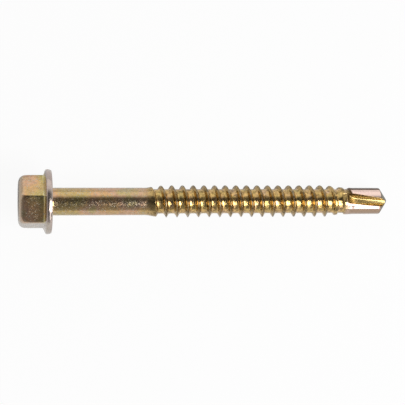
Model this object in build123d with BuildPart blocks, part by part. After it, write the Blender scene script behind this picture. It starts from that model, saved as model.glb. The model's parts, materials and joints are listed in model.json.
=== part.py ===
from build123d import *
from math import atan2, cos, floor, radians, sin, tan
import os

# Hex washer head self drilling screw, size ST5.5, forged and rolled from one piece of steel.
# It is drawn upright about its own axis: Z = 0 is the bearing face under the washer flange, the
# head stands below it and the point ends the +Z side. Turns are degrees from +X towards +Y.
# At the end it is laid down the way it rests on a table, on its flange and its thread.

# Head
across_flats = 7.9
head_height = 5.3               # bearing face to the top of the head
hex_turn = 48.0                 # normal of the first flat
crown_radius = 0.9              # rounding between the flats and the top
envelope_diameter = 9.06        # turned envelope that blunts the six corners
envelope_radius = 1.4           # and rounds them off towards the top
dish_diameter = 4.8             # shallow dish that the heading punch leaves in the top
dish_floor = 3.4                # diameter of its flat floor
dish_depth = 0.2

# Washer flange
flange_diameter = 10.55
flange_rim = 1.0                # thickness at the rim
flange_slope = 15.0             # rise of the upper side towards the hex
rim_bevel = 0.36                # the rim's edges are broken in two steps
rim_bevel_step = 0.14

# Shank and thread
shank_diameter = 4.5
shank_foot = 0.25               # flare under the head
thread_major = 5.3
thread_minor = 4.0
pitch = 1.8
crest_flat = 0.12
flank_angle = 30.0              # each flank against a plane across the axis
plain_length = 15.6             # bearing face to where the rolled blank begins to swell
swell_length = 3.2              # from the shank up to the full crests
swell_steep_length = 1.3        # its first and steeper part
swell_steep_rise = 0.26
full_thread_length = 27.6
fading_length = 1.0             # where the crests drop to the last low turns
fading_drop = 0.28
low_turns_length = 2.8
low_turns_drop = 0.14
groove_delay = 1.18             # swelling begins to groove at full depth
groove_start_turn = -50.0       # turn where the groove reaches its full depth
groove_full_turns = 18
groove_last_turn = 126.0        # part of a turn beyond the full ones
groove_run = 2.6                # length of the straight run-in and run-out
groove_clearance = 0.05         # how far the groove cutter stands out of the crests

# Drill point
point_diameter = 4.4
point_neck_length = 0.3         # last low turn to the point's body
point_length = 4.7              # the body up to the outer corners of the lips
point_half_angle = 54.5
chisel_half_angle = 68.0
chisel_length = 0.52
chisel_turn = 72.0              # direction of the chisel edge
web_thickness = 1.3             # metal left between the two flutes
flute_lead = 80.0
flute_overlap = 1.2             # how far the flutes reach back into the low turns
flute_ramp = 2.0                # length over which they sink to their full depth
flute_beyond = 1.0              # how far their cutter runs past the tip
flute_start_turn = 70.0         # middle of the first flute at its start
flute_floor = 0.78              # width of the flute floor
lip_side_slope = 16.0           # side that ends in the cutting lip
heel_side_slope = 12.0
flute_clearance = 0.6           # how far the flute cutter stands out of the body

# Derived sizes
head_top = -head_height
flange_radius = flange_diameter / 2
shank_radius = shank_diameter / 2
crest_radius = thread_major / 2
root_circle = thread_minor / 2
point_radius = point_diameter / 2
envelope_reach = envelope_diameter / 2
swell_end = plain_length + swell_length
full_thread_end = swell_end + full_thread_length
fading_end = full_thread_end + fading_length
fading_radius = crest_radius - fading_drop
low_turns_end = fading_end + low_turns_length
groove_start = plain_length + groove_delay
point_start = low_turns_end + point_neck_length
point_corners = point_start + point_length
point_slope = tan(radians(point_half_angle))
flange_rise = tan(radians(flange_slope))
flange_cone_top = -flange_rim - flange_radius * flange_rise
point_apex = point_corners + point_radius / point_slope
chisel_height = point_apex - chisel_length / 2 / point_slope
flute_start = point_start - flute_overlap
flute_full_depth = flute_start + flute_ramp
flute_end = point_apex + flute_beyond

# Groove cutter: the space between two crests, wound from its own start at height 0 on +X.
# It runs in and out along a straight line, which is how the groove fades into the blank.
flank_rise = tan(radians(flank_angle))
cutter_radius = crest_radius + groove_clearance
groove_mouth = (pitch - crest_flat) / 2 + groove_clearance * flank_rise
groove_bottom = groove_mouth - (cutter_radius - root_circle) * flank_rise
path_radius = (cutter_radius + root_circle) / 2
part_turn = groove_last_turn / 360

with BuildPart() as groove:
    with BuildLine():
        windings = [
            Helix(pitch, pitch, path_radius, center=(0, 0, turn * pitch), mode=Mode.PRIVATE)
            for turn in range(groove_full_turns)
        ]
        last = Helix(
            pitch,
            part_turn * pitch,
            path_radius,
            center=(0, 0, groove_full_turns * pitch),
            mode=Mode.PRIVATE,
        )
        run_in_shift = windings[0] % 0 * -groove_run
        run_out_shift = last % 1 * groove_run
        run_in = Line(windings[0] @ 0 + run_in_shift, windings[0] @ 0, mode=Mode.PRIVATE)
        run_out = Line(last @ 1, last @ 1 + run_out_shift, mode=Mode.PRIVATE)
    with BuildSketch(Plane(run_in_shift, x_dir=(1, 0, 0), z_dir=(0, -1, 0))):
        with BuildLine():
            Polyline(
                (cutter_radius, groove_mouth),
                (root_circle, groove_bottom),
                (root_circle, -groove_bottom),
                (cutter_radius, -groove_mouth),
                (cutter_radius, groove_mouth),
            )
        make_face()
    sweep(path=Wire([run_in, *windings, last, run_out]), is_frenet=True, clean=False)

# Flute cutter: one flute leaning round the axis, which rises out of the blank at its start
flute_reach = point_radius + flute_clearance

with BuildPart() as flute:
    for height, floor_radius in (
        (flute_start, flute_reach - flute_clearance / 2),
        (flute_full_depth, web_thickness / 2),
        ((flute_full_depth + flute_end) / 2, web_thickness / 2),
        (flute_end, web_thickness / 2),
    ):
        turn = radians(flute_start_turn + 360 * (height - flute_start) / flute_lead)
        depth = flute_reach - floor_radius
        lip_side = -flute_floor / 2
        heel_side = flute_floor / 2
        with BuildSketch(Plane((0, 0, height), x_dir=(cos(turn), sin(turn), 0))):
            with BuildLine():
                Polyline(
                    (flute_reach, lip_side - depth * tan(radians(lip_side_slope))),
                    (floor_radius, lip_side),
                    (floor_radius, heel_side),
                    (flute_reach, heel_side + depth * tan(radians(heel_side_slope))),
                    close=True,
                )
            make_face()
    loft()

with BuildPart() as upright:
    # Shank, thread blank and point blank, turned in one profile and then grooved
    with BuildSketch(Plane.XZ):
        with BuildLine():
            Polyline(
                (0, -flange_rim / 2),
                (shank_radius + shank_foot, -flange_rim / 2),
                (shank_radius + shank_foot, 0),
                (shank_radius, shank_foot),
                (shank_radius, plain_length),
                (shank_radius + swell_steep_rise, plain_length + swell_steep_length),
                (crest_radius, swell_end),
                (crest_radius, full_thread_end),
                (fading_radius, fading_end),
                (fading_radius - low_turns_drop, low_turns_end),
                (point_radius, point_start),
                (point_radius, point_corners),
                (0, point_apex),
                close=True,
            )
        make_face()
    revolve(axis=Axis.Z)
    with Locations(Location((0, 0, groove_start), (0, 0, groove_start_turn))):
        add(groove.part, mode=Mode.SUBTRACT)

    # Two flutes and the chisel edge that the pinch point leaves between them
    with PolarLocations(0, 2):
        add(flute.part, mode=Mode.SUBTRACT)
    chisel_along = Vector(1, 0, 0).rotate(Axis.Z, chisel_turn)
    chisel_across = Vector(0, 1, 0).rotate(Axis.Z, chisel_turn)
    chisel_drop = point_diameter / tan(radians(chisel_half_angle))
    with BuildSketch(Plane((0, 0, chisel_height), x_dir=chisel_across, z_dir=chisel_along)):
        with BuildLine():
            Polyline(
                (0, 0),
                (point_diameter, -chisel_drop),
                (point_diameter, point_diameter),
                (-point_diameter, point_diameter),
                (-point_diameter, -chisel_drop),
                close=True,
            )
        make_face()
    extrude(amount=point_radius, both=True, mode=Mode.SUBTRACT)

with BuildPart() as head:
    # Hex with its rounded crown and blunted corners
    with BuildSketch(Plane.XY.offset(head_top)):
        RegularPolygon(across_flats / 2, 6, major_radius=False, rotation=hex_turn - 30)
    extrude(amount=head_height - flange_rim / 2)
    fillet(head.faces().sort_by(Axis.Z)[0].edges(), radius=crown_radius)
    with BuildSketch(Plane.XZ):
        with BuildLine():
            FilletPolyline(
                (0, 0),
                (0, head_top),
                (envelope_reach, head_top),
                (envelope_reach, 0),
                close=True,
                radius=(0, 0, envelope_radius, 0),
            )
        make_face()
    revolve(axis=Axis.Z, mode=Mode.INTERSECT)

    # Washer flange under it, and the dish in the top
    with BuildSketch(Plane.XZ):
        with BuildLine():
            Polyline(
                (0, flange_cone_top),
                (flange_radius - rim_bevel, -flange_rim - rim_bevel * flange_rise),
                (flange_radius - rim_bevel_step, rim_bevel_step - flange_rim),
                (flange_radius, rim_bevel - flange_rim),
                (flange_radius, -rim_bevel),
                (flange_radius - rim_bevel_step, -rim_bevel_step),
                (flange_radius - rim_bevel, 0),
                (0, 0),
                close=True,
            )
        make_face()
    revolve(axis=Axis.Z)
    with BuildSketch(Plane.XZ):
        with BuildLine():
            Polyline(
                (0, head_top),
                (dish_diameter / 2, head_top),
                (dish_floor / 2, head_top + dish_depth),
                (0, head_top + dish_depth),
                close=True,
            )
        make_face()
    revolve(axis=Axis.Z, mode=Mode.SUBTRACT)


# The crest that lies underneath, nearest to the point: the screw rests on it and on the flange
crest_under = groove_start - (groove_start_turn + 90) / 360 * pitch + pitch / 2
full_pitches = floor((full_thread_end - crest_under) / pitch)
last_crest = crest_under + full_pitches * pitch + crest_flat / 2
rest_tilt = atan2(flange_radius - crest_radius, last_crest + rim_bevel)
lying = Plane(
    (0, 0, 0),
    x_dir=(0, 1, 0),
    z_dir=(cos(rest_tilt), 0, -sin(rest_tilt)),
)

with BuildPart(lying) as screw:
    add(head.part)
    add(upright.part)

os.makedirs("parts", exist_ok=True)
screw.part.label = "screw"
export_step(screw.part, "parts/screw.step")
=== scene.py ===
import json
import math

import bmesh
import bpy
from mathutils import Matrix, Vector


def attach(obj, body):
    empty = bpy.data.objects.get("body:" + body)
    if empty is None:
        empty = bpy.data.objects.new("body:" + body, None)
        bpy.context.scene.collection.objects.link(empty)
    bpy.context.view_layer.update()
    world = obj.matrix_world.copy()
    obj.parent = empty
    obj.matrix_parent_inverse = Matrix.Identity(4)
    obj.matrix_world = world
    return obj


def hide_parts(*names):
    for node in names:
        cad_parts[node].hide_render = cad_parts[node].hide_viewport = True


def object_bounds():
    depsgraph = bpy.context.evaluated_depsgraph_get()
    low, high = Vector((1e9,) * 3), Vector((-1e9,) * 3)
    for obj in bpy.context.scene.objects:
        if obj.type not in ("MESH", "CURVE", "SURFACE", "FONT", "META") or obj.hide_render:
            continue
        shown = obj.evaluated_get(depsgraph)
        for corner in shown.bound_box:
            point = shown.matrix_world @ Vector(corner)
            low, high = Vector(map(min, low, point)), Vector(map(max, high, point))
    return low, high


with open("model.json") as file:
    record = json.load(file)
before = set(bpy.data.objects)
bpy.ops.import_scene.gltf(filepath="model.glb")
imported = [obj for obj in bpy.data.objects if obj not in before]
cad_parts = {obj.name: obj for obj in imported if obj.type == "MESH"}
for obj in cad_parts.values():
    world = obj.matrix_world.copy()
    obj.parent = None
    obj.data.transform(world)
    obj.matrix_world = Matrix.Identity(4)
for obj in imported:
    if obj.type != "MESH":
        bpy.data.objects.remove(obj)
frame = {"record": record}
cadLow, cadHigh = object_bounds()
print("frame loaded")

mm = 0.001


# Small helpers for angles, shares, places and shader trees
def slopeOf(degrees):
    return math.tan(math.radians(degrees))


def shareBetween(value, low, high):
    return min(max((value - low) / (high - low), 0.0), 1.0)


def placedOn(right, up, back, place):
    rows = [(right[k], up[k], back[k], place[k]) for k in range(3)]
    return Matrix((*rows, (0, 0, 0, 1)))


def newNode(tree, kind, place, **settings):
    node = tree.nodes.new(kind)
    node.location = place
    for key, value in settings.items():
        setattr(node, key, value)
    return node


def setRamp(node, stops):
    ramp = node.color_ramp
    while len(ramp.elements) > len(stops):
        ramp.elements.remove(ramp.elements[-1])
    while len(ramp.elements) < len(stops):
        ramp.elements.new(1.0)
    for element, (place, colour) in zip(ramp.elements, stops):
        element.position = place
        element.color = (*colour, 1.0)


def emptyMaterial(name):
    material = bpy.data.materials.new(name)
    material.use_nodes = True
    material.node_tree.nodes.clear()
    return material


# The skin of the screw is one grid of rings, drawn upright in millimetres: height 0 is the bearing
# face, the head is below it and the point above. Turns are degrees round the axis.
grid = {
    "turnStep": 3.0,
    "cornerSteps": (-2.0, -1.0, 1.0, 2.0),     # extra columns beside each corner of the hex
    "weld": 0.0005,            # mm between vertices that become one
    "sharpFrom": 35.0,         # edges bent more than this stay crisp
}

head = {
    "acrossFlats": 7.9,
    "height": 5.3,
    "firstCorner": 18.0,       # turn of a corner of the hex
    "crown": 0.9,              # rounding between the flats and the top
    "envelope": 4.53,          # radius of the turned envelope that blunts the corners
    "envelopeRound": 1.4,
    "cornerSoftness": 0.06,
    "foot": 0.20,              # hollow between the hex and the flange
    "dishRadius": 2.4,
    "dishFloor": 1.7,
    "dishDepth": 0.2,
    "dishLip": 0.05,
    "floorRings": (0.35, 0.7, 1.0),            # shares of the dish floor, its wall and the flats
    "wallRings": (0.12, 0.5, 0.88),
    "flatRings": (0.25, 0.5, 0.75, 1.0),
    "crownArc": (0, 90, 9),                    # first and last angle and the steps between
    "footArc": (20, 90, 4),
}

flange = {
    "radius": 5.275,
    "rim": 1.0,
    "slope": 12.0,
    "round": 0.30,             # rounding of the rim's upper edge
    "seatAlong": 0.68,         # the longer rounding towards the bearing face
    "seatIn": 0.28,
    "slopeMargin": 0.12,       # from the rim's rounding to the first ring of the slope
    "seatRings": (4.2, 3.4, 2.6),
    "roundArc": (-75, 0, 6),
    "seatArc": (0, 90, 12),
}

thread = {
    "shank": 2.25,
    "shankFoot": 0.25,
    "footArc": (0, 90, 5),
    "shankRings": (1.0, 3.0, 5.5, 8.0, 10.5, 13.0, 14.4),
    "root": 2.0,
    "crest": 2.65,
    "pitch": 1.8,
    "crestFlat": 0.12,
    "flank": 30.0,
    "blank": (                 # heights and radii of the blank that the thread is rolled on
        (0.0, 2.25), (15.6, 2.25), (16.9, 2.51), (18.8, 2.65), (46.4, 2.65),
        (47.4, 2.37), (50.2, 2.23), (50.5, 2.2), (60.0, 2.2),
    ),
    "blankSoftness": 0.12,
    "grooveStart": 16.78,
    "grooveStartTurn": -50.0,
    "grooveTurns": 18.35,
    "runOut": 70.0,            # degrees over which the groove runs in and out
    "noGroove": 9.0,           # a radius out of reach, where there is no groove
    "rootSoftness": 0.06,
    "crestSoftness": 0.05,
    "offsets": (               # heights of the rings of one winding from its middle
        -0.9, -0.86, -0.82, -0.7, -0.58, -0.5, -0.42, -0.32, -0.16,
        0.0, 0.16, 0.32, 0.42, 0.5, 0.58, 0.7, 0.82, 0.86,
    ),
    "low": 15.0,               # the winding grid runs between these two heights
    "high": 51.2,
}

point = {
    "radius": 2.2,
    "corners": 55.2,
    "halfAngle": 54.5,
    "edge": (0.05, 0.015, 0.0025),             # the corners are broken: down, in and up
    "bodyRings": (52.0, 53.0, 54.0, 54.7),
    "coneRings": (0.06, 0.25, 0.5, 0.75, 0.94),
}


def columnTurns():
    count = round(360 / grid["turnStep"])
    turns = {grid["turnStep"] * k for k in range(count)}
    for corner in range(6):
        middle = head["firstCorner"] + 60 * corner
        turns.update((middle + step) % 360 for step in grid["cornerSteps"])
    return sorted(turns)


columns = columnTurns()


def softLess(a, b, softness):
    return (a + b - math.hypot(a - b, softness)) / 2


def softMore(a, b, softness):
    return (a + b + math.hypot(a - b, softness)) / 2


def hexRadius(turn, apothem, limit):
    beside = (turn - head["firstCorner"]) % 60 - 30
    one = apothem / math.cos(math.radians(beside))
    two = apothem / math.cos(math.radians(60 - abs(beside)))
    radius = softLess(one, two, head["cornerSoftness"])
    return softLess(radius, limit, head["cornerSoftness"])


def envelopeRadius(height):
    below = head["envelopeRound"] - (height + head["height"])
    if below <= 0:
        return head["envelope"]
    shrink = head["envelopeRound"] - math.sqrt(max(head["envelopeRound"] ** 2 - below ** 2, 0))
    return head["envelope"] - shrink


def hexRing(apothem, height, outward=0.0):
    limit = envelopeRadius(height)
    return [(hexRadius(turn, apothem, limit) + outward, height) for turn in columns]


def plainRing(radius, height):
    return [(radius, height) for turn in columns]


def coneHeight(radius):
    return -flange["rim"] - (flange["radius"] - radius) * slopeOf(flange["slope"])


def arcSteps(first, last, count):
    return [math.radians(first + (last - first) * k / count) for k in range(count + 1)]


def headRings():
    rings = []
    top = -head["height"]
    for share in head["floorRings"]:
        rings.append(plainRing(head["dishFloor"] * share, top + head["dishDepth"]))
    for share in head["wallRings"]:
        radius = head["dishFloor"] + (head["dishRadius"] - head["dishFloor"]) * share
        rings.append(plainRing(radius, top + head["dishDepth"] * (1 - share)))
    rings.append(plainRing(head["dishRadius"] + head["dishLip"], top))
    half = head["acrossFlats"] / 2
    rings.append(plainRing((head["dishRadius"] + half - head["crown"]) / 2, top))
    for angle in arcSteps(*head["crownArc"]):
        apothem = half - head["crown"] * (1 - math.sin(angle))
        rings.append(hexRing(apothem, top + head["crown"] * (1 - math.cos(angle))))
    foot = coneHeight(half + head["foot"])
    side = top + head["crown"]
    low = foot - head["foot"]
    for share in head["flatRings"]:
        rings.append(hexRing(half, side + (low - side) * share))
    for angle in arcSteps(*head["footArc"]):
        outward = head["foot"] * (1 - math.cos(angle))
        height = coneHeight(half + outward) - head["foot"] * (1 - math.sin(angle))
        rings.append([(radius, height) for radius, _ in hexRing(half, foot, outward)])
    return rings


def flangeRings():
    rings = []
    outer = flange["radius"]
    edge = flange["round"]
    slopeEnd = outer - edge - flange["slopeMargin"]
    rings.append(plainRing(slopeEnd, coneHeight(slopeEnd)))
    for angle in arcSteps(*flange["roundArc"]):
        rings.append(plainRing(
            outer - edge + edge * math.cos(angle),
            edge - flange["rim"] + edge * math.sin(angle),
        ))
    for angle in arcSteps(*flange["seatArc"]):
        rings.append(plainRing(
            outer - flange["seatIn"] * (1 - math.cos(angle)),
            flange["seatAlong"] * (math.sin(angle) - 1),
        ))
    foot = thread["shankFoot"]
    for radius in flange["seatRings"]:
        rings.append(plainRing(radius, 0))
    for angle in arcSteps(*thread["footArc"]):
        rings.append(plainRing(
            thread["shank"] + foot * (1 - math.sin(angle)),
            foot * (1 - math.cos(angle)),
        ))
    for height in thread["shankRings"]:
        rings.append(plainRing(thread["shank"], height))
    return rings


def sharpBlank(height):
    for (low, first), (high, last) in zip(thread["blank"], thread["blank"][1:]):
        if height <= high:
            return first + (last - first) * (height - low) / (high - low)
    return point["radius"]


def blankRadius(height):
    soft = thread["blankSoftness"]
    return (sharpBlank(height - soft) + 2 * sharpBlank(height) + sharpBlank(height + soft)) / 4


# Radius of the groove beside its middle; it runs in and out along a straight line
def grooveRadius(offset, travelled):
    beyond = max(0.0, -travelled, travelled - thread["grooveTurns"] * 360)
    if beyond > thread["runOut"]:
        return thread["noGroove"]
    slope = slopeOf(thread["flank"])
    halfMouth = (thread["pitch"] - thread["crestFlat"]) / 2
    halfRoot = halfMouth - (thread["crest"] - thread["root"]) * slope
    climb = softMore(abs(offset) - halfRoot, 0.0, thread["rootSoftness"]) / slope
    return thread["root"] / math.cos(math.radians(beyond)) + climb


def threadRadius(height, offset, travelled):
    radius = blankRadius(height)
    for step in (-1, 0, 1):
        cut = grooveRadius(offset - step * thread["pitch"], travelled + step * 360)
        radius = softLess(radius, cut, thread["crestSoftness"])
    return radius


def threadRings():
    rings = []
    pitch = thread["pitch"]
    middle = thread["grooveStart"] - pitch * thread["grooveStartTurn"] / 360
    first = math.floor((thread["low"] - middle) / pitch) - 1
    last = math.ceil((thread["high"] - middle) / pitch) + 1
    for winding in range(first, last + 1):
        for offset in thread["offsets"]:
            ring = []
            for turn in columns:
                height = middle + pitch * (winding + turn / 360) + offset
                travelled = winding * 360 + turn - thread["grooveStartTurn"]
                if height <= thread["low"] or height >= thread["high"]:
                    height = min(max(height, thread["low"]), thread["high"])
                    ring.append((blankRadius(height), height))
                else:
                    ring.append((threadRadius(height, offset, travelled), height))
            rings.append(ring)
    return rings


def pointRings():
    rings = []
    for height in point["bodyRings"]:
        rings.append(plainRing(point["radius"], height))
    down, inward, up = point["edge"]
    rings.append(plainRing(point["radius"], point["corners"] - down))
    rings.append(plainRing(point["radius"] - inward, point["corners"] + up))
    length = point["radius"] / slopeOf(point["halfAngle"])
    for share in point["coneRings"]:
        rings.append(plainRing(point["radius"] * (1 - share), point["corners"] + length * share))
    return rings


def placeRings(mesh, rings):
    placed = []
    for ring in rings:
        placed.append([])
        for (radius, height), turn in zip(ring, columns):
            angle = math.radians(turn)
            spot = (radius * math.cos(angle), radius * math.sin(angle), height)
            placed[-1].append(mesh.verts.new(spot))
    return placed


# The last face of a band closes on the two seam vertices, one pitch further along the thread
def joinRings(mesh, lower, upper, seamLower, seamUpper):
    lower = lower + [seamLower]
    upper = upper + [seamUpper]
    for k in range(len(columns)):
        mesh.faces.new((lower[k], lower[k + 1], upper[k + 1], upper[k]))


def joinStack(mesh, rings):
    for lower, upper in zip(rings, rings[1:]):
        joinRings(mesh, lower, upper, lower[0], upper[0])


def capRing(mesh, ring, height):
    centre = mesh.verts.new((0, 0, height))
    for k, vertex in enumerate(ring):
        mesh.faces.new((vertex, ring[(k + 1) % len(ring)], centre))


def buildSkin():
    mesh = bmesh.new()
    below = placeRings(mesh, headRings() + flangeRings())
    wound = placeRings(mesh, threadRings())
    above = placeRings(mesh, pointRings())
    joinStack(mesh, below)
    perPitch = len(thread["offsets"])
    last = len(wound) - 1 - perPitch
    for k in range(last):
        joinRings(mesh, wound[k], wound[k + 1], wound[k + perPitch][0], wound[k + 1 + perPitch][0])
    joinStack(mesh, [below[-1], wound[0]])
    joinStack(mesh, [wound[last], above[0]])
    joinStack(mesh, above)
    capRing(mesh, below[0], head["dishDepth"] - head["height"])
    capRing(mesh, above[-1], point["corners"] + point["radius"] / slopeOf(point["halfAngle"]))
    bmesh.ops.remove_doubles(mesh, verts=mesh.verts, dist=grid["weld"])
    bmesh.ops.dissolve_degenerate(mesh, edges=mesh.edges, dist=grid["weld"] / 5)
    loose = [v for v in mesh.verts if not v.link_faces]
    bmesh.ops.delete(mesh, geom=loose, context="VERTS")
    bmesh.ops.recalc_face_normals(mesh, faces=mesh.faces)
    return mesh


# Cutters for the pinched drill point: two flutes that wind round it and the chisel edge
flute = {
    "leadIn": 47.2,            # height where a shallow dip leads into the flute
    "leadReach": 2.3,
    "leadWidth": 0.3,
    "leadTurn": 11.0,
    "start": 49.3,
    "full": 51.3,              # height where the floor reaches the web
    "end": 58.4,
    "steps": 36,
    "reach": 2.8,              # the cutter stands out of the body to this radius
    "startReach": 1.95,        # radius of the floor at the start
    "web": 1.3,
    "lipHalf": (0.39, 0.27),   # middle to the lip side of the floor, at the start and at the tip
    "heelHalf": (0.92, 0.44),
    "floorRise": 0.12,         # the floor climbs towards the heel
    "lipSlope": 16.0,
    "heelSlope": 12.0,
    "corner": 0.22,            # rounding where the floor meets the walls
    "startTurn": 70.0,
    "lead": 80.0,
}

chisel = {
    "halfAngle": 68.0,
    "length": 0.52,
    "turn": 72.0,
    "size": 4.4,
}


def roundCorner(before, corner, after, distance, count=4):
    towards = (Vector(before) - Vector(corner)).normalized() * distance
    away = (Vector(after) - Vector(corner)).normalized() * distance
    spots = []
    for k in range(count + 1):
        t = k / count
        spots.append(Vector(corner) + towards * (1 - t) ** 2 + away * t ** 2)
    return spots


def leadShare(height):
    return 1 - shareBetween(height, flute["leadIn"], flute["start"])


def fluteSide(name, height):
    first, last = flute[name]
    towardsTip = shareBetween(height, flute["start"], point["corners"])
    left = 1 - shareBetween(height, flute["start"], flute["full"])
    return first + (last - first) * towardsTip + flute["leadWidth"] * left ** 2


def fluteSection(height):
    left = 1 - shareBetween(height, flute["start"], flute["full"])
    floorAt = flute["web"] / 2 + (flute["startReach"] - flute["web"] / 2) * left ** 2
    floorAt += (flute["leadReach"] - flute["startReach"]) * leadShare(height)
    depth = flute["reach"] - floorAt
    lip = -fluteSide("lipHalf", height)
    heel = fluteSide("heelHalf", height)
    lipTop = (flute["reach"], lip - depth * slopeOf(flute["lipSlope"]))
    heelTop = (flute["reach"], heel + depth * slopeOf(flute["heelSlope"]))
    lipFoot = (floorAt, lip)
    heelFoot = (floorAt + min(flute["floorRise"], depth / 3), heel)
    corner = min(flute["corner"], depth / 2)
    spots = [Vector(lipTop)]
    spots += roundCorner(lipTop, lipFoot, heelFoot, corner)
    spots += roundCorner(lipFoot, heelFoot, heelTop, corner)
    spots.append(Vector(heelTop))
    return spots


def closedSweep(name, sections):
    mesh = bmesh.new()
    rings = [[mesh.verts.new(spot) for spot in section] for section in sections]
    for lower, upper in zip(rings, rings[1:]):
        for k, vertex in enumerate(lower):
            following = (k + 1) % len(lower)
            mesh.faces.new((vertex, lower[following], upper[following], upper[k]))
    mesh.faces.new(rings[0])
    mesh.faces.new(rings[-1])
    bmesh.ops.recalc_face_normals(mesh, faces=mesh.faces)
    data = bpy.data.meshes.new(name)
    mesh.to_mesh(data)
    mesh.free()
    cutter = bpy.data.objects.new(name, data)
    bpy.context.scene.collection.objects.link(cutter)
    return cutter


def makeFluteCutter(side):
    sections = []
    for k in range(flute["steps"] + 1):
        height = flute["leadIn"] + (flute["end"] - flute["leadIn"]) * k / flute["steps"]
        wound = 360 * max(height - flute["start"], 0.0) / flute["lead"]
        turn = flute["startTurn"] + flute["leadTurn"] * leadShare(height) + 180 * side + wound
        spin = Matrix.Rotation(math.radians(turn), 4, "Z")
        sections.append([spin @ Vector((spot.x, spot.y, height)) for spot in fluteSection(height)])
    return closedSweep("fluteCutter", sections)


def makeChiselCutter():
    size = chisel["size"]
    top = point["corners"] + (point["radius"] - chisel["length"] / 2) / slopeOf(point["halfAngle"])
    drop = size / slopeOf(chisel["halfAngle"])
    outline = ((0, 0), (size, -drop), (size, size), (-size, size), (-size, -drop))
    spin = Matrix.Rotation(math.radians(chisel["turn"]), 4, "Z")
    sections = []
    for along in (-size, size):
        sections.append([spin @ Vector((along, across, top + rise)) for across, rise in outline])
    return closedSweep("chiselCutter", sections)


def cutAway(thing, cutters):
    for cutter in cutters:
        step = thing.modifiers.new(cutter.name, "BOOLEAN")
        step.operation = "DIFFERENCE"
        step.solver = "EXACT"
        step.object = cutter
    bpy.context.view_layer.update()
    whole = thing.evaluated_get(bpy.context.evaluated_depsgraph_get())
    finished = bpy.data.meshes.new_from_object(whole)
    thing.modifiers.clear()
    thing.data = finished
    for cutter in cutters:
        bpy.data.objects.remove(cutter)


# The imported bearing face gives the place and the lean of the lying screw
seat = next(mount for mount in frame["record"]["mounts"] if mount["name"] == "bearing_face")
screwAxis = Vector(seat["axis"]).normalized()


def lieDown():
    side = Vector((0, 1, 0))
    up = screwAxis.cross(side)
    spot = Vector(seat["pos_m"])
    return placedOn(side * mm, up * mm, screwAxis * mm, spot)


def makeScrew():
    skin = buildSkin()
    data = bpy.data.meshes.new("screwSkin")
    skin.to_mesh(data)
    skin.free()
    body = bpy.data.objects.new("screwSkin", data)
    bpy.context.scene.collection.objects.link(body)
    cutAway(body, [makeFluteCutter(0), makeFluteCutter(1), makeChiselCutter()])
    body.data.transform(lieDown())
    body.data.polygons.foreach_set("use_smooth", [True] * len(body.data.polygons))
    body.data.set_sharp_from_angle(angle=math.radians(grid["sharpFrom"]))
    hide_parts("screw")
    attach(body, "root")
    return body


screw = makeScrew()
print("screw built", len(screw.data.polygons))


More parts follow.
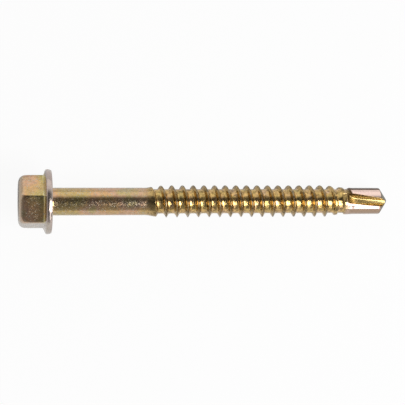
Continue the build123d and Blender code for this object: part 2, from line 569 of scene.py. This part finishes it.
# The finish is yellow passivated zinc. A zone is where one part of the screw begins and where it is
# full, in millimetres of one measure: along the axis from the bearing face, out from the axis
# (reach), across the lying screw, up from its axis, or along past the cone of the tip.
zinc = {
    "zones": {
        "thread": ("along", 14.8, 16.5),
        "flank": ("reach", 2.02, 2.2),         # painted shade: the flanks and crests of the thread are darker than its root
        # painted shade: the crests of the thread are darker
        "crest": ("reach", 2.46, 2.62),
        "point": ("along", 48.8, 49.9),
        "land": ("reach", 2.08, 2.16),         # round body of the point between the flutes
        "fluteWallShade": ("reach", 1.15, 1.65),        # painted shade on the walls of the flutes, darker towards their edges
        "pointSideShade": ("across", -1.32, -1.46),      # painted shade on one side of the point's round body, beginning in a sharp line
        "edge": ("across", 1.78, 1.90),        # painted dark reflection along the top of the other side of the point's round body
        "upper": ("up", -0.4, -0.1),
        # painted dark reflection: the cone of the tip is darkened
        "tipShade": ("past", -0.12, -0.05),
        "collarSheen": ("reach", 4.0, 4.4),         # sloping top of the washer flange, painted brighter yellow: a painted sheen
        "slope": ("along", -1.6, -1.45),
        "rim": ("reach", 4.6, 5.0),
        "head": ("along", 0.0, -0.5),
        "pale": ("across", -3.0, -3.7),        # side of the head that is paler and greyer
        "crown": ("along", -4.3, -5.1),        # rounded top of the head, greyer and darker: a painted dark reflection
    },
    "tints": {
        # painted shade on the thread's flanks
        "flank": (0.46, 0.31, 0.11),
        "flute": (0.66, 0.49, 0.19),
        "land": (1.0, 0.73, 0.63),
        # painted shade on the flute walls
        "fluteWallShade": (0.11, 0.065, 0.03),
        # painted shade on one side of the point
        "pointSideShade": (0.44, 0.30, 0.20),
        # painted dark reflection along the point's upper edge
        "edge": (0.12, 0.075, 0.05),
        # painted dark reflection on the tip's cone
        "tipShade": (0.17, 0.155, 0.11),
        # painted sheen on the flange's sloping top
        "collarSheen": (0.78, 0.66, 0.30),
        "rim": (0.56, 0.45, 0.41),
        "pale": (0.55, 0.48, 0.41),
        # painted dark reflection on the crown
        "crown": (0.46, 0.41, 0.33),
        "pit": (0.56, 0.49, 0.36),
    },
    "crownShadeShare": 0.65,
    "noises": {                # scale per millimetre, detail, roughness
        "drift": (0.24, 2.0, 0.45),
        "cloud": (2.2, 4.0, 0.6),
        "patch": (0.6, 3.0, 0.55),
        "speck": (1.9, 3.0, 0.65),
        "pit": (4.6, 1.0, 0.5),
        "grain": (2.8, 2.0, 0.6),
        "dent": (1.3, 1.0, 0.5),
    },
    "driftShift": (7.3, 2.1, 5.4),
    "driftTints": (            # slow drift of the passivation: olive, gold, rose, grey
        (0.30, (0.50, 0.39, 0.11)),
        (0.42, (0.60, 0.41, 0.15)),
        (0.50, (0.68, 0.40, 0.17)),
        (0.58, (0.68, 0.40, 0.25)),
        (0.67, (0.56, 0.43, 0.17)),
        (0.77, (0.50, 0.41, 0.30)),
    ),
    "cloudTints": ((0.30, (0.86, 0.87, 0.89)), (0.50, (1, 1, 1)), (0.72, (1.08, 1.05, 1.02))),
    "threadTints": (
        (0.32, (0.50, 0.37, 0.13)),
        (0.45, (0.61, 0.41, 0.13)),
        (0.55, (0.64, 0.41, 0.15)),
        (0.66, (0.58, 0.38, 0.19)),
        (0.76, (0.56, 0.46, 0.36)),
    ),
    # these dark crest tints are painted shade
    "crestTints": ((0.35, (0.24, 0.16, 0.06)), (0.52, (0.30, 0.21, 0.09)), (0.68, (0.36, 0.32, 0.25))),
    "speckTints": ((0.36, (0.45, 0.42, 0.34)), (0.48, (0.92, 0.92, 0.92)), (0.62, (1.32, 1.31, 1.28))),
    "plainSpecks": 0.35,       # share of the thread's specks that the plain parts show
    "pitDepth": (0.57, 0.70),  # noise where a dull pit in the plain plating begins and is full
    "roughNoise": (0.35, 0.70),
    "rough": (0.11, 0.24),
    "fluteRough": 0.36,
    "pitRough": 0.32,
    "coat": 1.0,               # clear sealing coat over the zinc
    "threadCoat": 0.6,
    "coatRoughness": 0.28,
    "grainHeight": 0.010,      # mm
    "dentHeight": 0.011,       # mm
    "threadGrain": 2.2,        # times the grain of the plain parts
    "pointGrain": 0.15,
}

restTilt = math.atan2(-screwAxis.z, screwAxis.x)
coneRun = 1 / slopeOf(point["halfAngle"])      # along the axis for each mm outward
apexHeight = point["corners"] + point["radius"] * coneRun


def link(tree, source, target):
    tree.links.new(source, target)


def mapRange(tree, place, value, low, high, toLow=0.0, toHigh=1.0):
    node = newNode(tree, "ShaderNodeMapRange", place)
    node.inputs["From Min"].default_value = low
    node.inputs["From Max"].default_value = high
    node.inputs["To Min"].default_value = toLow
    node.inputs["To Max"].default_value = toHigh
    link(tree, value, node.inputs["Value"])
    return node.outputs["Result"]


def combined(tree, place, one, two, operation="MULTIPLY", clamp=False):
    node = newNode(tree, "ShaderNodeMath", place, operation=operation, use_clamp=clamp)
    for entry, value in zip(node.inputs, (one, two)):
        if isinstance(value, (int, float)):
            entry.default_value = value
        else:
            link(tree, value, entry)
    return node.outputs[0]


def noiseOn(tree, place, vector, scale, detail, roughness):
    node = newNode(tree, "ShaderNodeTexNoise", place)
    node.inputs["Scale"].default_value = scale
    node.inputs["Detail"].default_value = detail
    node.inputs["Roughness"].default_value = roughness
    link(tree, vector, node.inputs["Vector"])
    return node.outputs["Fac"]


def ramped(tree, place, value, stops):
    node = newNode(tree, "ShaderNodeValToRGB", place)
    setRamp(node, stops)
    link(tree, value, node.inputs["Fac"])
    return node.outputs["Color"]


def blended(tree, place, share, base, over, how="MIX"):
    node = newNode(tree, "ShaderNodeMix", place, data_type="RGBA", blend_type=how)
    for entry, value in ((node.inputs[0], share), (node.inputs[6], base), (node.inputs[7], over)):
        if isinstance(value, (int, float)):
            entry.default_value = value
        elif isinstance(value, tuple):
            entry.default_value = (*value, 1)
        else:
            link(tree, value, entry)
    return node.outputs[2]


def evened(tree, place, share, base, over):
    node = newNode(tree, "ShaderNodeMix", place, data_type="FLOAT")
    link(tree, share, node.inputs[0])
    link(tree, base, node.inputs[2])
    node.inputs[3].default_value = over
    return node.outputs[0]


# Millimetres along the screw's own axis, across it, up and out from it
def measureScrew(tree):
    where = newNode(tree, "ShaderNodeTexCoord", (-2200, 0))
    turned = newNode(tree, "ShaderNodeMapping", (-2000, 0))
    turned.inputs["Scale"].default_value = (1 / mm, 1 / mm, 1 / mm)
    turned.inputs["Rotation"].default_value = (0, -restTilt, 0)
    link(tree, where.outputs["Object"], turned.inputs["Vector"])
    spot = turned.outputs["Vector"]
    apart = newNode(tree, "ShaderNodeSeparateXYZ", (-1800, -200))
    link(tree, spot, apart.inputs[0])
    flat = newNode(tree, "ShaderNodeCombineXYZ", (-1600, -200))
    link(tree, apart.outputs["Y"], flat.inputs["Y"])
    link(tree, apart.outputs["Z"], flat.inputs["Z"])
    outward = newNode(tree, "ShaderNodeVectorMath", (-1400, -200), operation="LENGTH")
    link(tree, flat.outputs[0], outward.inputs[0])
    reach = outward.outputs["Value"]
    along = apart.outputs["X"]
    cone = combined(tree, (-1200, -400), reach, coneRun)
    cone = combined(tree, (-1050, -400), cone, along, "ADD")
    return spot, {
        "along": along,
        "across": apart.outputs["Y"],
        "up": apart.outputs["Z"],
        "reach": reach,
        "past": combined(tree, (-900, -400), cone, apexHeight, "SUBTRACT"),
    }


def findZones(tree, look, measures):
    zones = {}
    for row, (name, (measure, begins, full)) in enumerate(look["zones"].items()):
        zones[name] = mapRange(tree, (-700, -250 * row), measures[measure], begins, full)
    zones["flank"] = combined(tree, (-500, -250), zones["flank"], zones["thread"])
    zones["crest"] = combined(tree, (-500, -500), zones["crest"], zones["thread"])
    zones["land"] = combined(tree, (-500, -1000), zones["land"], zones["point"])
    zones["flute"] = combined(tree, (-300, -1000), zones["point"], zones["land"], "SUBTRACT", True)
    zones["fluteWallShade"] = combined(tree, (-100, -1250), zones["fluteWallShade"], zones["flute"])
    zones["pointSideShade"] = combined(tree, (-100, -1500), zones["pointSideShade"], zones["land"])
    zones["edge"] = combined(tree, (-300, -1750), zones["edge"], zones["upper"])
    zones["edge"] = combined(tree, (-100, -1750), zones["edge"], zones["land"])
    zones["collarSheen"] = combined(tree, (-500, -2500), zones["collarSheen"], zones["slope"])
    zones["pale"] = combined(tree, (-500, -3500), zones["pale"], zones["head"])
    zones["crown"] = combined(tree, (-500, -3750), zones["crown"], look["crownShadeShare"])
    return zones


def zincColour(tree, look, noises, zones):
    colour = ramped(tree, (-500, 1400), noises["drift"], look["driftTints"])
    rolled = ramped(tree, (-500, 1000), noises["patch"], look["threadTints"])
    # painted shade: the crests get dark tints
    shadedCrests = ramped(tree, (-500, 800), noises["patch"], look["crestTints"])
    specks = ramped(tree, (-500, 600), noises["speck"], look["speckTints"])
    clouds = ramped(tree, (-500, 1200), noises["cloud"], look["cloudTints"])
    speckled = mapRange(tree, (200, 400), zones["thread"], 0.0, 1.0, look["plainSpecks"], 1.0)
    colour = blended(tree, (-200, 800), zones["thread"], colour, rolled)
    # painted shade: the flanks and crests are darker than the root of the thread
    colour = blended(tree, (0, 800), zones["flank"], colour, look["tints"]["flank"])
    colour = blended(tree, (200, 800), zones["crest"], colour, shadedCrests)
    colour = blended(tree, (400, 800), speckled, colour, specks, "MULTIPLY")
    # the flute-wall, point-side, edge, tip and crown tints are painted shade and painted dark
    # reflections, the collar tint a painted sheen
    parts = ("flute", "land", "fluteWallShade", "pointSideShade", "edge", "tipShade", "collarSheen", "rim", "pale", "crown")
    for column, name in enumerate(parts):
        colour = blended(tree, (600 + 180 * column, 800), zones[name], colour, look["tints"][name])
    colour = blended(tree, (2400, 800), 1.0, colour, clouds, "MULTIPLY")
    return blended(tree, (2600, 800), zones["pit"], colour, look["tints"]["pit"])


def zincRoughness(tree, look, noises, zones):
    rough = mapRange(tree, (1800, 300), noises["cloud"], *look["roughNoise"], *look["rough"])
    rough = evened(tree, (2000, 300), zones["flute"], rough, look["fluteRough"])
    return evened(tree, (2200, 300), zones["pit"], rough, look["pitRough"])


def zincCoat(tree, look, zones):
    coat = mapRange(tree, (1600, 0), zones["thread"], 0.0, 1.0, look["coat"], look["threadCoat"])
    # the coat is left off where shade and dark reflections are painted: the point's upper edge, the
    # flute walls and the tip's cone
    for column, name in enumerate(("edge", "fluteWallShade", "tipShade")):
        coatOffInShade = mapRange(tree, (1600 + 200 * column, -250), zones[name], 0.0, 1.0, 1.0, 0.0)
        coat = combined(tree, (1800 + 200 * column, 0), coat, coatOffInShade)
    return coat


# Grain of the plating over shallow dents
def zincBumps(tree, look, noises, zones):
    coarse = mapRange(tree, (1400, -600), zones["thread"], 0.0, 1.0, 1.0, look["threadGrain"])
    smooth = mapRange(tree, (1400, -850), zones["point"], 0.0, 1.0, 1.0, look["pointGrain"])
    strength = combined(tree, (1600, -600), coarse, smooth)
    normal = None
    for column, name in enumerate(("dent", "grain")):
        bump = newNode(tree, "ShaderNodeBump", (2000 + 300 * column, -600))
        height = combined(tree, (1850 + 300 * column, -800), strength, look[name + "Height"] * mm)
        link(tree, height, bump.inputs["Distance"])
        link(tree, noises[name], bump.inputs["Height"])
        if normal:
            link(tree, normal, bump.inputs["Normal"])
        normal = bump.outputs["Normal"]
    return normal


def makeZinc(look):
    material = emptyMaterial("yellowZinc")
    tree = material.node_tree
    out = newNode(tree, "ShaderNodeOutputMaterial", (3200, 0))
    shader = newNode(tree, "ShaderNodeBsdfPrincipled", (2900, 0))
    link(tree, shader.outputs["BSDF"], out.inputs["Surface"])
    shader.inputs["Metallic"].default_value = 1.0
    shader.inputs["Coat Roughness"].default_value = look["coatRoughness"]
    spot, measures = measureScrew(tree)
    zones = findZones(tree, look, measures)
    shifted = newNode(tree, "ShaderNodeVectorMath", (-900, 1400), operation="ADD")
    link(tree, spot, shifted.inputs[0])
    shifted.inputs[1].default_value = look["driftShift"]
    noises = {}
    for row, (name, settings) in enumerate(look["noises"].items()):
        place = shifted.outputs[0] if name == "drift" else spot
        noises[name] = noiseOn(tree, (-700, 1600 - 200 * row), place, *settings)
    plain = mapRange(tree, (-500, 350), zones["thread"], 0.0, 1.0, 1.0, 0.0)
    pits = mapRange(tree, (-500, 100), noises["pit"], *look["pitDepth"])
    zones["pit"] = combined(tree, (-300, 200), pits, plain)
    link(tree, zincColour(tree, look, noises, zones), shader.inputs["Base Color"])
    link(tree, zincRoughness(tree, look, noises, zones), shader.inputs["Roughness"])
    link(tree, zincCoat(tree, look, zones), shader.inputs["Coat Weight"])
    link(tree, zincBumps(tree, look, noises, zones), shader.inputs["Normal"])
    return material


screw.data.materials.clear()
screw.data.materials.append(makeZinc(zinc))
print("finish ready")


# Floor, world and lamps
studio = {
    "floorHalf": 6.0,
    "floorColour": (0.80, 0.80, 0.80),
    "floorGlow": 0.93,         # share of plain white in what the camera sees
    "reflectedGlow": 0.08,     # the same share in what the metal mirrors
    "ringStops": (             # pale ring round the table: from the horizon up to the zenith
        (0.0, (0.95, 0.95, 0.95)),
        (0.07, (0.90, 0.90, 0.90)),
        (0.14, (0.50, 0.50, 0.50)),
        (0.26, (0.36, 0.36, 0.36)),
        (0.45, (0.30, 0.30, 0.30)),
        (0.60, (0.24, 0.24, 0.24)),
        (0.75, (0.18, 0.18, 0.18)),
        (0.90, (0.11, 0.11, 0.11)),
        (0.97, (0.09, 0.09, 0.095)),
        (1.0, (0.07, 0.07, 0.075)),
    ),
    "wallToward": (0.0, 0.80, -0.60),
    "wallStops": (             # big pale wall on the upper side, over the share of that direction
        (0.0, (0.0, 0.0, 0.0)),
        (0.42, (0.0, 0.0, 0.0)),
        (0.52, (0.45, 0.45, 0.45)),
        (0.62, (0.85, 0.85, 0.85)),
        (0.70, (0.96, 0.96, 0.96)),
        (1.0, (0.96, 0.96, 0.96)),
    ),
    "boxes": (                 # softboxes around the middle of the screw; sizes in metres
        {
            "name": "keyBox",
            "toward": (0.284, -0.129, 0.335),
            "distance": 0.45,
            "wide": 0.36,
            "tall": 0.27,
            "turn": -12.0,     # degrees about its own middle
            "radiance": 6.0,
        },
        {
            "name": "lowStrip",
            "toward": (0.315, -0.571, 0.467),
            "distance": 0.45,
            "wide": 0.064,
            "tall": 0.378,
            "turn": 4.6,
            "radiance": 2.2,
        },
    ),
}


def makeFloor(look):
    bottom = cadLow.z
    half = look["floorHalf"]
    mesh = bpy.data.meshes.new("floor")
    mesh.from_pydata(
        [(-half, -half, bottom), (half, -half, bottom), (half, half, bottom), (-half, half, bottom)],
        [],
        [(0, 1, 2, 3)],
    )
    floorPlane = bpy.data.objects.new("floor", mesh)
    bpy.context.scene.collection.objects.link(floorPlane)
    material = emptyMaterial("paleTable")
    tree = material.node_tree
    out = newNode(tree, "ShaderNodeOutputMaterial", (600, 0))
    diffuse = newNode(tree, "ShaderNodeBsdfDiffuse", (0, 100))
    diffuse.inputs["Color"].default_value = (*look["floorColour"], 1)
    white = newNode(tree, "ShaderNodeEmission", (0, -100))
    white.inputs["Color"].default_value = (1, 1, 1, 1)
    white.inputs["Strength"].default_value = 1.0
    path = newNode(tree, "ShaderNodeLightPath", (-600, 300))
    straight = combined(tree, (-300, 400), path.outputs["Is Camera Ray"], look["floorGlow"])
    mirrored = combined(tree, (-300, 200), path.outputs["Is Glossy Ray"], look["reflectedGlow"])
    share = combined(tree, (0, 300), straight, mirrored, "MAXIMUM")
    mix = newNode(tree, "ShaderNodeMixShader", (300, 0))
    link(tree, share, mix.inputs["Fac"])
    link(tree, diffuse.outputs[0], mix.inputs[1])
    link(tree, white.outputs[0], mix.inputs[2])
    link(tree, mix.outputs[0], out.inputs["Surface"])
    mesh.materials.append(material)
    return floorPlane


def makeWorld(look):
    world = bpy.data.worlds.new("studio")
    bpy.context.scene.world = world
    world.use_nodes = True
    tree = world.node_tree
    tree.nodes.clear()
    out = newNode(tree, "ShaderNodeOutputWorld", (800, 0))
    sky = newNode(tree, "ShaderNodeBackground", (600, 0))
    link(tree, sky.outputs[0], out.inputs["Surface"])
    where = newNode(tree, "ShaderNodeTexCoord", (-800, 0))
    toward = where.outputs["Generated"]
    apart = newNode(tree, "ShaderNodeSeparateXYZ", (-500, 200))
    link(tree, toward, apart.inputs[0])
    ring = ramped(tree, (-200, 200), apart.outputs["Z"], look["ringStops"])
    facing = newNode(tree, "ShaderNodeVectorMath", (-500, -100), operation="DOT_PRODUCT")
    link(tree, toward, facing.inputs[0])
    facing.inputs[1].default_value = Vector(look["wallToward"]).normalized()
    shareOfWall = mapRange(tree, (-350, -100), facing.outputs["Value"], -1.0, 1.0)
    wall = ramped(tree, (-200, -100), shareOfWall, look["wallStops"])
    both = newNode(tree, "ShaderNodeMix", (300, 0), data_type="RGBA", blend_type="LIGHTEN")
    both.inputs[0].default_value = 1.0
    link(tree, ring, both.inputs[6])
    link(tree, wall, both.inputs[7])
    link(tree, both.outputs[2], sky.inputs["Color"])


def makeBox(look):
    lamp = bpy.data.lights.new(look["name"], "AREA")
    lamp.shape = "RECTANGLE"
    lamp.size = look["wide"]
    lamp.size_y = look["tall"]
    lamp.energy = look["radiance"] * math.pi * look["wide"] * look["tall"]     # watts
    box = bpy.data.objects.new(look["name"], lamp)
    middle = Vector((0.5 * (cadLow.x + cadHigh.x), 0, 0))
    back = Vector(look["toward"]).normalized()
    level = (Vector((1, 0, 0)) - back * back.x).normalized()
    side = Matrix.Rotation(math.radians(look["turn"]), 3, back) @ level
    up = back.cross(side)
    box.matrix_world = placedOn(side, up, back, middle + back * look["distance"])
    bpy.context.scene.collection.objects.link(box)
    box.visible_camera = False


makeFloor(studio)
makeWorld(studio)
for box in studio["boxes"]:
    makeBox(box)
print("studio ready")


# Camera: close above the table over the head, turned along the screw to its middle
view = {
    "imageSide": 405,
    "mmPerPixel": 0.1645,      # at the aimed point
    "height": 0.200,           # metres above the axis at the head
    "stand": 0.0,              # mm from the bearing face to the foot of the camera
    "aim": 24.7,               # mm from the bearing face to the aimed point
    "aside": -0.2,             # mm across the screw
    "roll": 0.14,              # degrees
    "sensor": 36.0,
    "clip": (0.01, 10.0),      # metres
}


def makeCamera(look):
    data = bpy.data.cameras.new("camera")
    camera = bpy.data.objects.new("camera", data)
    bpy.context.scene.collection.objects.link(camera)
    bpy.context.scene.camera = camera
    camera.location = (look["stand"] * mm, look["aside"] * mm, look["height"])
    target = Vector((look["aim"] * mm, look["aside"] * mm, 0))
    back = (camera.location - target).normalized()
    level = Vector((0, 1, 0)).cross(back)
    roll = math.radians(look["roll"])
    up = Vector((0, 1, 0)) * math.cos(roll) + level * math.sin(roll)
    camera.matrix_world = placedOn(up.cross(back), up, back, camera.location)
    width = look["imageSide"] * look["mmPerPixel"] * mm
    data.sensor_width = look["sensor"]
    data.lens = look["sensor"] * (camera.location - target).length / width
    data.clip_start, data.clip_end = look["clip"]


makeCamera(view)
bpy.context.scene.view_settings.view_transform = "Standard"
print("camera ready")
